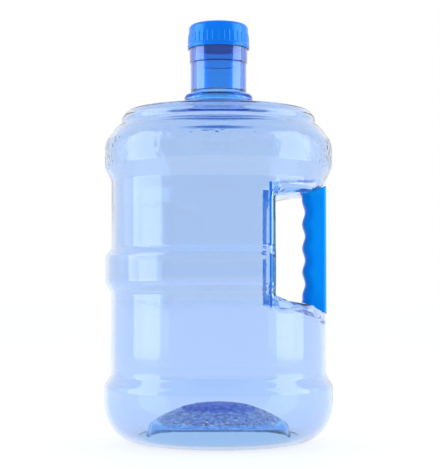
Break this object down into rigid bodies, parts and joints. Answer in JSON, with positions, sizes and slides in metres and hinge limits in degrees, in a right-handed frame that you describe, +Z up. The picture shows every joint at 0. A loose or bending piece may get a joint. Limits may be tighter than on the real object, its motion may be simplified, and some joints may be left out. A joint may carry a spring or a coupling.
{
  "type": "water jug",
  "caption": "Large transparent pale-blue water jug with a hand notch and grip bar in one side, a domed base, a raised band, a narrow neck and a ribbed screw cap.",
  "frame": {"origin": "centre of the standing ring, on the surface the jug stands on", "axes": "+Z up along the jug's axis, +X through the hand notch and the grip, +Y to the back"},
  "size_m": [0.2212, 0.2212, 0.404],
  "materials": {
    "tinted_clear": "clear gloss, light blue tint",
    "grip_blue": "solid azure, satin gloss",
    "cap_blue": "solid blue, satin gloss",
    "liner_white": "soft white foam"
  },
  "bodies": {
    "jug": {"bottle_shell": "tinted_clear", "handle_grip": "grip_blue"},
    "cap_seal": {"cap_liner": "liner_white"},
    "cap": {"cap_shell": "cap_blue"}
  },
  "joints": [
    {"name": "cap_lift", "type": "slide", "parent": "jug", "child": "cap_seal", "axis": [0, 0, 1], "range_m": [0, 0.0241]},
    {"name": "cap_turn", "type": "hinge", "parent": "cap_seal", "child": "cap", "pos_m": [0, 0, 0.392], "axis": [0, 0, 1], "range_deg": [0, 1440]}
  ],
  "couplings": [
    {"joint": "cap_lift", "follows": "cap_turn", "m_per_rad": 0.00095493}
  ]
}
